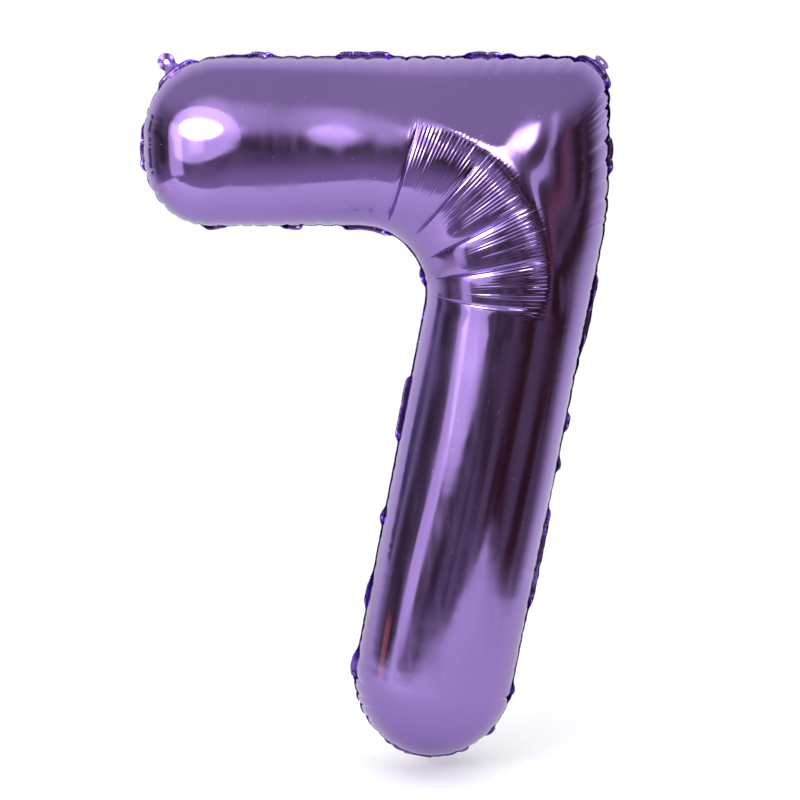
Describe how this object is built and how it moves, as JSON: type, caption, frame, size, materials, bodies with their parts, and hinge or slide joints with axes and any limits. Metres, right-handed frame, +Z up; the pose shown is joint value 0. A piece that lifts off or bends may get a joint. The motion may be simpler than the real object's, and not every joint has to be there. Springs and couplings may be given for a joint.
{
  "type": "foil number balloon",
  "caption": "Inflated purple foil balloon in the shape of the digit seven, made of welded front and back films, with hang tabs, a fill neck and a self-sealing valve.",
  "frame": {"origin": "centre of the hole in the left hang tab, in the seam plane", "axes": "+X to the reader's right along the arm, +Y from the front film to the back film, +Z up; the seam lies in the plane Y = 0"},
  "size_m": [0.56, 0.199, 0.8586],
  "materials": {
    "foil": "mirror-like metallised film",
    "tab_foil": "metallised film, welded flat",
    "neck_foil": "metallised film, lightly creased",
    "valve_film": "thin milky film"
  },
  "bodies": {
    "envelope": {"front_foil": "foil", "back_foil": "foil"},
    "left_tab": {"hang_tab_left": "tab_foil"},
    "right_tab": {"hang_tab_right": "tab_foil"},
    "fill_neck": {"neck_front_film": "neck_foil", "neck_back_film": "neck_foil"},
    "valve_front": {"valve_front_strip": "valve_film"},
    "valve_back": {"valve_back_strip": "valve_film"}
  },
  "joints": [
    {"name": "left_tab_fold", "type": "hinge", "parent": "envelope", "child": "left_tab", "pos_m": [0.00633, 0, -0.00825], "axis": [-0.7934, 0, -0.6088], "range_deg": [-85, 85], "stiffness_Nm_per_rad": 0.001},
    {"name": "right_tab_fold", "type": "hinge", "parent": "envelope", "child": "right_tab", "pos_m": [0.51021, 0, -0.00374], "axis": [-0.7193, 0, 0.6947], "range_deg": [-150, 20], "stiffness_Nm_per_rad": 0.001},
    {"name": "neck_fold", "type": "hinge", "parent": "envelope", "child": "fill_neck", "pos_m": [0.29661, 0, -0.84216], "axis": [0.9823, 0, -0.1874], "range_deg": [-190, 0], "stiffness_Nm_per_rad": 0.003},
    {"name": "valve_front_lip", "type": "hinge", "parent": "envelope", "child": "valve_front", "pos_m": [0.29844, 0, -0.83254], "axis": [-0.9823, 0, 0.1874], "range_deg": [-12, 0], "stiffness_Nm_per_rad": 0.004},
    {"name": "valve_back_lip", "type": "hinge", "parent": "envelope", "child": "valve_back", "pos_m": [0.29844, 0, -0.83254], "axis": [-0.9823, 0, 0.1874], "range_deg": [0, 12], "stiffness_Nm_per_rad": 0.004}
  ]
}
